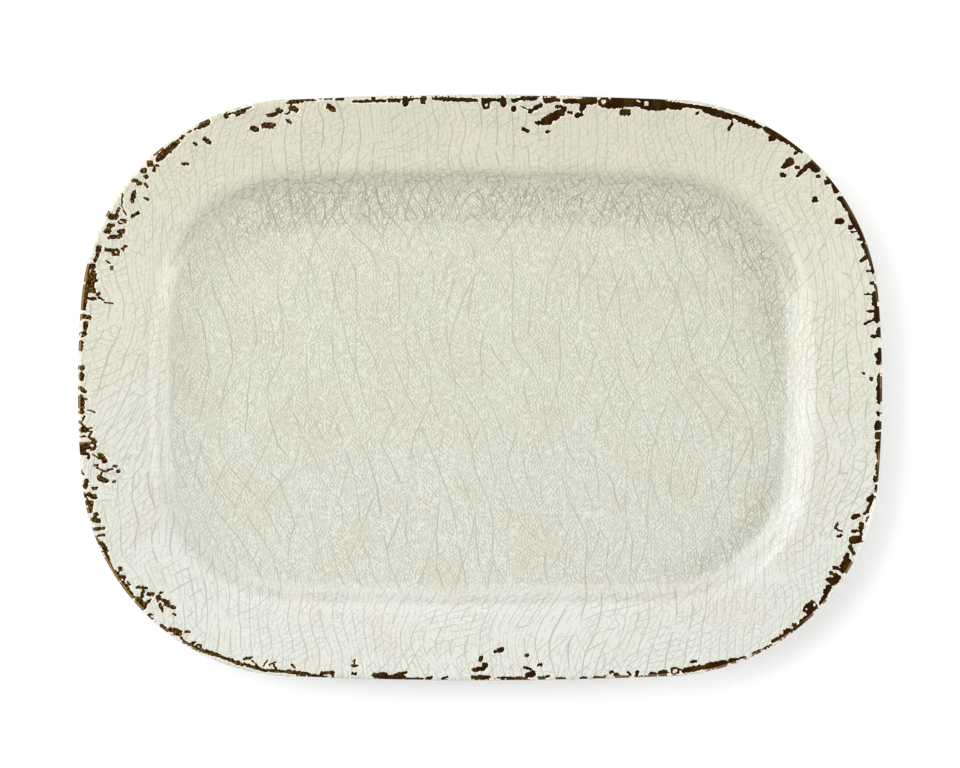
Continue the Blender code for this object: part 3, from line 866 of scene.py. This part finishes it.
# paler tan on the lip's crest: partly worn slip, partly a painted highlight
SLIP_WEAR_AND_HIGHLIGHT = (0.30, 0.175, 0.065, 1)
CLAY_DARK = (0.55, 0.47, 0.36, 1)
CLAY_PALE = (0.68, 0.61, 0.50, 1)
FLOOR_WHITE = (0.965, 0.965, 0.97, 1)
GLOW_START, GLOW_END = 1.0, 3.5  # distances from the platter over which the floor begins to glow
GLOW_STRENGTH = 0.5

# Insets of the zones that the cracks follow, in millimetres
WALL_MIDDLE = 48.0
WALL_FOOT = 61.0

# Sets of cracks, each with a seed of its own and the numbers of its strands: angle, spacing, bend,
# wobble, gaps, width and weight. Some have rungs too: spacing, share kept, width and weight.
LONG_CRACKS = [
    (1, (0, 7.0, 2.6, 0.35, 0.10, 0.48, 0.80), (6.0, 0.45, 0.44, 0.55)),
    (2, (6, 3.0, 2.2, 0.50, 0.30, 0.42, 0.50), (3.6, 0.30, 0.42, 0.38)),
]
SLANTING_NET = [(3, (50, 5.0, 2.2, 0.30, 0.30, 0.44, 0.70), (4.4, 0.50, 0.44, 0.55))]
CLOSE_CRACKS = [
    (4, (4, 1.8, 1.8, 0.55, 0.32, 0.47, 0.70), (2.4, 0.38, 0.47, 0.56)),
    (5, (-36, 1.65, 1.8, 0.55, 0.36, 0.47, 0.72)),
    (6, (46, 1.9, 1.8, 0.55, 0.46, 0.47, 0.64)),
]
SWEEPING_CRACKS = [
    (7, (-16, 11.0, 2.2, 0.45, 0.30, 0.62, 0.84)),
    (8, (14, 17.0, 2.2, 0.40, 0.40, 0.62, 0.80)),
]
CURLING_CRACKS = [
    (9, (-24, 4.6, 2.0, 0.70, 0.25, 0.50, 1.0), (3.4, 0.45, 0.46, 0.8)),
    (10, (30, 5.4, 2.0, 0.70, 0.30, 0.50, 0.95)),
]


def strands(look, place, seed, angle, spacing, bend, wobble, gaps, width):
    """Long thin lines, about angle from the Y axis, that bend, thin out and break off.

    bend and wobble say how many spacings a line wanders off over long and short distances, gaps is
    the share of its length that is missing. Returns the lines, and for rungs the number of the
    nearest line and the place across and along it.
    """
    place = look.moved(place, 83.0 * seed, 37.0 * seed)
    x, y, _ = look.split(look.turned(place, math.radians(angle)))
    phase = look.times_plus(look.noise(place, 8.0 * spacing, 0.0), bend, seed)
    phase = look.times_plus(look.noise(place, 2.5 * spacing, 1.0), wobble, phase)
    phase = look.times_plus(x, 1 / spacing, phase)
    strip = look.maths("ROUND", phase)
    own = look.less(look.random_value(look.join(strip, seed, 0.0)), 0.5)
    present = look.noise(look.moved(place, 0.0, 51.0), 1.8 * spacing, 0.0)
    present = look.times_plus(own, 0.25, present)
    present = look.ramp(present, 0.27 + 0.4 * gaps, 0.36 + 0.4 * gaps)
    return look.times(look.stripe(phase, spacing, width), present), (strip, x, y)


def rungs(look, strips, seed, spacing, kept, width):
    """Short lines across the strips between strands, each at a slant and a height of its own."""
    strip, x, y = strips
    slant = look.less(look.random_value(look.join(strip, seed, 4.0)), 0.5)
    shift = look.random_value(look.join(strip, seed, 7.0))
    y = look.times_plus(x, look.times(slant, 1.5), y)
    climb = look.times_plus(y, 1 / spacing, look.noise(look.place, 1.6 * spacing, 0.0))
    climb = look.times_plus(shift, 9.0, climb)
    chance = look.random_value(look.join(strip, look.maths("ROUND", climb), seed))
    return look.times(look.stripe(climb, spacing, width), look.maths("LESS_THAN", chance, kept))


def cracks_of(look, place, sets):
    """The strongest of the strands and rungs of some sets, each times its weight."""
    result = 0.0
    for seed, (*numbers, weight), *rung_rows in sets:
        lines, strips = strands(look, place, seed, *numbers)
        result = look.larger(result, look.times(lines, weight))
        for *numbers, weight in rung_rows:
            short = rungs(look, strips, seed, *numbers)
            result = look.larger(result, look.times(short, weight))
    return result


def flange_cracks(look):
    bent = look.warped(90.0, 20.0)
    net = look.times(cracks_of(look, bent, SLANTING_NET), look.patches(42.0, 0.32, 0.46, 1.0))
    return look.larger(cracks_of(look, bent, LONG_CRACKS), net)


def well_cracks(look):
    close = cracks_of(look, look.warped(14.0, 2.4), CLOSE_CRACKS)
    sweeping = cracks_of(look, look.warped(60.0, 9.0), SWEEPING_CRACKS)
    grain = look.times(look.patches(0.75, 0.35, 0.65), 0.22)
    return look.larger(look.larger(close, sweeping), grain)


def wall_cracks(look):
    """Wandering cracks that run along the wall."""
    spacing = 3.2
    wander = look.times(look.noise(look.place, 17.0, 1.0), 3.2)
    lines = look.stripe(look.times_plus(look.inset, 1 / spacing, wander), spacing, 0.45)
    lines = look.times(lines, look.patches(6.0, 0.42, 0.52, shift=(17.0, 0.0)))
    return look.times(lines, look.peak(look.inset, WALL_MIDDLE, 10.0))


def wriggles(look):
    """Short curled marks, broken into pieces."""
    hills = look.noise(look.warped(6.0, 1.2), 5.0, 0.0)
    lines = look.stripe(look.times(hills, 7.0), 1.0, 0.26)
    return look.times(lines, look.patches(3.2, 0.42, 0.50, shift=(40.0, 0.0)))


def toward_top(look):
    """Goes from 0.1 in the photo's lower half to 1 at its top."""
    return look.ramp(look.times_plus(look.x, 0.05, look.y), -40.0, 120.0, 0.1, 1.0)


def stained_zone(look):
    """A ring round the foot of the wall, strong at the top and weaker in the lower right corner."""
    at_top = look.times(toward_top(look), look.ramp(look.x, -175.0, -110.0, 0.3, 1.0))
    at_corner = look.ramp(look.less(look.x, look.y), 190.0, 240.0, 0.0, 0.5)
    return look.times(look.peak(look.inset, WALL_FOOT, 25.0), look.larger(at_top, at_corner))


def glaze_cracks(look, in_well, stained, wall_share):
    """All cracks together: 0 where the glaze is whole, 1 in the darkest."""
    zones = look.nodes.new("ShaderNodeMix")
    look.feed(zones.inputs["Factor"], in_well)
    look.feed(zones.inputs["A"], flange_cracks(look))
    look.feed(zones.inputs["B"], well_cracks(look))
    cracks = look.times(zones.outputs["Result"], look.times_plus(stained, 0.28, 1.0))
    curls = cracks_of(look, look.warped(24.0, 6.0), CURLING_CRACKS)
    cracks = look.larger(cracks, look.times(curls, look.ramp(stained, 0.1, 0.7, 0.0, 1.3)))
    return look.larger(cracks, look.times(wall_cracks(look), wall_share))


def glaze_stains(look, stained, wall_share):
    """Dark wriggles where the glaze is thick: in patches at the wall's foot, and on the wall."""
    at_foot = look.times(stained, look.patches(26.0, 0.38, 0.58, 1.0, shift=(0.0, 80.0)))
    on_wall = look.times(look.peak(look.inset, WALL_MIDDLE, 7.0), wall_share)
    return look.times(wriggles(look), look.larger(at_foot, on_wall))


def glaze_base(look, in_well):
    """The ivory under the cracks: paler and cooler toward -Y as painted light, darker toward +Y as
    painted shade, lighter in the well and warmer in patches.
    """
    # painted light: paler, cooler ivory toward -Y, where the flange faces the light above it
    base = look.mix(look.ramp(look.y, -150.0, 165.0), IVORY_PAINTED_LIGHT, IVORY)
    # painted shade: darker ivory toward +Y, where the flange faces away from the light
    base = look.mix(look.ramp(look.y, 105.0, 185.0), base, IVORY_PAINTED_SHADE)
    base = look.mix(look.times(in_well, 0.5), base, IVORY_WELL)
    return look.mix(look.times(look.patches(38.0, 0.45, 0.7, 2.0), 0.45), base, IVORY_WARM)


def glaze_material(name, has_chips):
    look = Look(name)
    in_well = look.ramp(look.inset, 47.0, 55.0)
    stained = stained_zone(look)
    wall_share = look.times_plus(toward_top(look), 0.6, 0.2)
    cracks = glaze_cracks(look, in_well, stained, wall_share)
    stains = glaze_stains(look, stained, wall_share)
    colour = look.mix(cracks, glaze_base(look, in_well), CRACK)
    colour = look.mix(look.times(stains, 0.65), colour, STAIN)
    if has_chips:
        chipped = look.ramp(look.attribute("chipped"), 0.0, 0.35)
        colour = look.mix(chipped, colour, CHIP_EDGE)
    look.bump(look.noise(look.place, 4.0), 0.05 * MM, 0.5)
    return look.surface(colour, roughness=0.20, specular=0.5)


def slip_material():
    """Brown slip, speckled toward the left end, with a paler line along the lip's crest that is partly
    worn slip and partly a painted highlight.
    """
    look = Look("brown_slip")
    colour = look.mix(look.patches(9.0, 0.45, 0.68, 4.0), SLIP_DARK, SLIP_BROWN)
    speckle = look.times(look.patches(1.6, 0.52, 0.66, 1.0), look.ramp(look.x, 40.0, -210.0))
    colour = look.mix(speckle, colour, SLIP_SPECK)
    at_ends = look.ramp(look.times_plus(look.y, -0.9, look.x), 170.0, 270.0, 0.0, 0.8)
    at_ends = look.larger(at_ends, look.ramp(look.x, -150.0, -205.0))
    at_ends = look.larger(at_ends, look.ramp(look.x, 190.0, 225.0, 0.0, 0.3))
    # paler line along the lip's crest: partly worn slip, partly a painted highlight
    wear_and_highlight = look.times(look.peak(look.inset, 1.5, 0.8), look.patches(26.0, 0.36, 0.52, 1.0))
    colour = look.mix(look.times(wear_and_highlight, at_ends), colour, SLIP_WEAR_AND_HIGHLIGHT)
    look.bump(look.noise(look.place, 0.6, 3.0), 0.06 * MM, 0.7)
    return look.surface(colour, roughness=0.5, specular=0.04)


def clay_material():
    look = Look("fired_clay")
    colour = look.mix(look.patches(2.0, 0.35, 0.7, 5.0), CLAY_DARK, CLAY_PALE)
    look.bump(look.noise(look.place, 0.5, 4.0), 0.08 * MM, 0.8)
    return look.surface(colour, roughness=0.85, specular=0.3)


def floor_material():
    """Pale and dull; far away, where the lamps don't reach, it glows and so stays as pale."""
    look = Look("pale_floor")
    away = look.vector_maths("LENGTH", look.place)
    glow = look.ramp(away, GLOW_START / MM, GLOW_END / MM, 0.0, GLOW_STRENGTH)
    look.feed(look.principled.inputs["Emission Strength"], glow)
    look.feed(look.principled.inputs["Emission Color"], (1, 1, 1, 1))
    return look.surface(FLOOR_WHITE, roughness=0.9, specular=0.0)


# ---------------------------------------------------------------- platter

RIM_SHARP_DEGREES = 22  # sharper than this is the side of a chip

fine_columns = outline_columns()
coarse_columns = tuple(part[::BLOCK] for part in fine_columns)
face_look = glaze_material("crackled_glaze", False)
rim_look = glaze_material("chipped_glaze", True)
slip_look = slip_material()
clay_look = clay_material()

rim = RimGlaze(fine_columns)
rim.build()
rim_piece = add_piece("glaze_rim", rim.points, rim.faces, rim.insets, rim_look, "face_glaze",
                      RIM_SHARP_DEGREES)
chipped = rim_piece.data.attributes.new("chipped", "FLOAT", "POINT")
chipped.data.foreach_set("value", rim.chipped)

ring_solid("glaze_well", well_section(), coarse_columns, face_look, "face_glaze")
ring_solid("slip_edge", slip_section(), coarse_columns, slip_look, "iron_slip_band", True)
ring_solid("glaze_underside", underside_section(), coarse_columns, face_look, "underside_glaze",
           True)
ring_solid("glaze_base", base_section(), coarse_columns, face_look, "base_glaze")
ring_solid("fired_body", body_section(), coarse_columns, clay_look, "clay_body")


# ---------------------------------------------------------------- stage

FLOOR_SIZE = 60.0
FLOOR_GAP = 0.05 * MM  # how far the floor lies below the foot ring
SOFTBOX_DISTANCE = 2.0
WORLD_LIGHT = 0.54
BACKDROP_LIGHT = 1.0  # the backdrop itself is white
CAMERA_HEIGHT = 1.5  # above the rim
CAMERA_LENS = 96.6
CAMERA_SHIFT_Y = 2.2 * MM


bpy.ops.mesh.primitive_plane_add(size=FLOOR_SIZE, location=(0, 0, -FLOOR_GAP))
floor = bpy.context.object
floor.name = "floor"
floor.data.materials.append(floor_material())


def add_softbox(name, azimuth, zenith, width, height, radiance, diffuse, glossy, colour=(1, 1, 1)):
    """A soft area light that faces the platter; radiance is on the scale where white is 1.

    diffuse and glossy say whether it lights surfaces and whether it is mirrored in them.
    """
    light = bpy.data.lights.new(name, "AREA")
    light.shape = "RECTANGLE"
    light.color = colour
    light.size = width
    light.size_y = height
    light.energy = radiance * math.pi * width * height
    box = bpy.data.objects.new(name, light)
    turn, tip = math.radians(azimuth), math.radians(zenith)
    direction = Vector((math.sin(tip) * math.cos(turn), math.sin(tip) * math.sin(turn), math.cos(tip)))
    box.location = direction * SOFTBOX_DISTANCE
    box.rotation_euler = direction.to_track_quat("Z", "Y").to_euler()
    box.visible_camera = False
    box.visible_diffuse = diffuse
    box.visible_glossy = glossy
    bpy.context.scene.collection.objects.link(box)


add_softbox("key_left", 165, 50, 1.9, 2.0, 2.7, True, True)
add_softbox("low_left", 176, 78, 2.2, 0.8, 1.8, True, False)
add_softbox("fill_right", -14, 54, 1.4, 1.1, 2.6, True, True)
add_softbox("low_right", -14, 78, 2.6, 0.8, 2.5, True, False)
add_softbox("overhead", 100, 46, 2.2, 1.6, 0.95, True, True)
# strips near the floor, mirrored in the wall of the platter
add_softbox("glint_left", 169, 80, 1.25, 0.6, 4.2, False, True, (0.70, 0.82, 1.0))
add_softbox("glint_right", -12, 77, 0.75, 0.7, 5.0, False, True)

world = bpy.data.worlds.new("studio")
world.use_nodes = True
world_nodes = world.node_tree.nodes
world_nodes["Background"].inputs["Color"].default_value = (1, 1, 1, 1)
seen = world_nodes.new("ShaderNodeLightPath").outputs["Is Camera Ray"]
strength = world_nodes.new("ShaderNodeMapRange")
strength.inputs["To Min"].default_value = WORLD_LIGHT
strength.inputs["To Max"].default_value = BACKDROP_LIGHT
world.node_tree.links.new(seen, strength.inputs["Value"])
world.node_tree.links.new(strength.outputs[0], world_nodes["Background"].inputs["Strength"])
bpy.context.scene.world = world
bpy.context.scene.view_settings.view_transform = "Standard"

camera_data = bpy.data.cameras.new("camera")
camera_data.lens = CAMERA_LENS
camera = bpy.data.objects.new("camera", camera_data)
rim_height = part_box("face_glaze")[1].z
camera.location = (0, CAMERA_SHIFT_Y, rim_height + CAMERA_HEIGHT)
bpy.context.scene.collection.objects.link(camera)
bpy.context.scene.camera = camera
